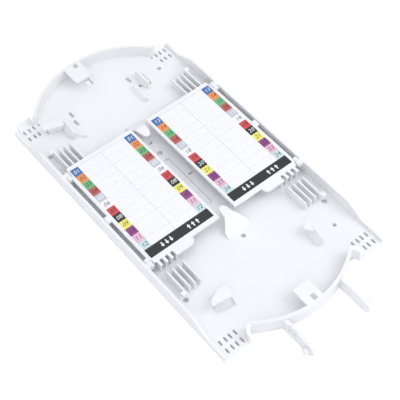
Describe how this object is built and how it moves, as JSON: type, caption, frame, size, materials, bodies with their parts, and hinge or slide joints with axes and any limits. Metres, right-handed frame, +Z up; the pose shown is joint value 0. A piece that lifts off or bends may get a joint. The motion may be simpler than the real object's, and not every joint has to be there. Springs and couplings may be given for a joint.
{
  "type": "fibre splice tray",
  "caption": "White moulded splice tray with round-ended storage wells, rib combs, hinged covers with colour index labels, and hanging arms with pivot pins.",
  "frame": {"origin": "on the underside, on the middle line, midway between the ends of the near and far ears", "axes": "+Y runs along the tray from the hanging arms to the far end, +X points to the right-hand cover, +Z is up out of the tray; rest height is the underside"},
  "size_m": [0.1, 0.207, 0.0092],
  "materials": {
    "tray_plastic": "white injection-moulded plastic, fine satin",
    "cover_plastic": "white injection-moulded plastic, fine satin",
    "label_paper": "smooth white label stock",
    "bar_black": "black label print",
    "ink_blue": "blue label print",
    "ink_orange": "orange label print",
    "ink_green": "green label print",
    "ink_brown": "brown label print",
    "ink_slate": "slate label print",
    "ink_white": "white label print",
    "ink_red": "red label print",
    "ink_black": "black label print",
    "ink_yellow": "yellow label print",
    "ink_violet": "violet label print",
    "ink_rose": "rose label print",
    "ink_aqua": "aqua label print"
  },
  "bodies": {
    "tray": {"tray_base": "tray_plastic"},
    "left_cover": {"left_cover": "cover_plastic", "left_label": "label_paper", "left_title_bar": "bar_black", "left_blue": "ink_blue", "left_orange": "ink_orange", "left_green": "ink_green", "left_brown": "ink_brown", "left_slate": "ink_slate", "left_white": "ink_white", "left_red": "ink_red", "left_black": "ink_black", "left_yellow": "ink_yellow", "left_violet": "ink_violet", "left_rose": "ink_rose", "left_aqua": "ink_aqua"},
    "right_cover": {"right_cover": "cover_plastic", "right_label": "label_paper", "right_title_bar": "bar_black", "right_blue": "ink_blue", "right_orange": "ink_orange", "right_green": "ink_green", "right_brown": "ink_brown", "right_slate": "ink_slate", "right_white": "ink_white", "right_red": "ink_red", "right_black": "ink_black", "right_yellow": "ink_yellow", "right_violet": "ink_violet", "right_rose": "ink_rose", "right_aqua": "ink_aqua"}
  },
  "joints": [
    {"name": "left_cover_hinge", "type": "hinge", "parent": "tray", "child": "left_cover", "pos_m": [-0.0468, 0.0068, 0.0077], "axis": [0, -1, 0], "range_deg": [0, 120]},
    {"name": "right_cover_hinge", "type": "hinge", "parent": "tray", "child": "right_cover", "pos_m": [0.0468, 0.0068, 0.0077], "axis": [0, 1, 0], "range_deg": [0, 120]}
  ]
}
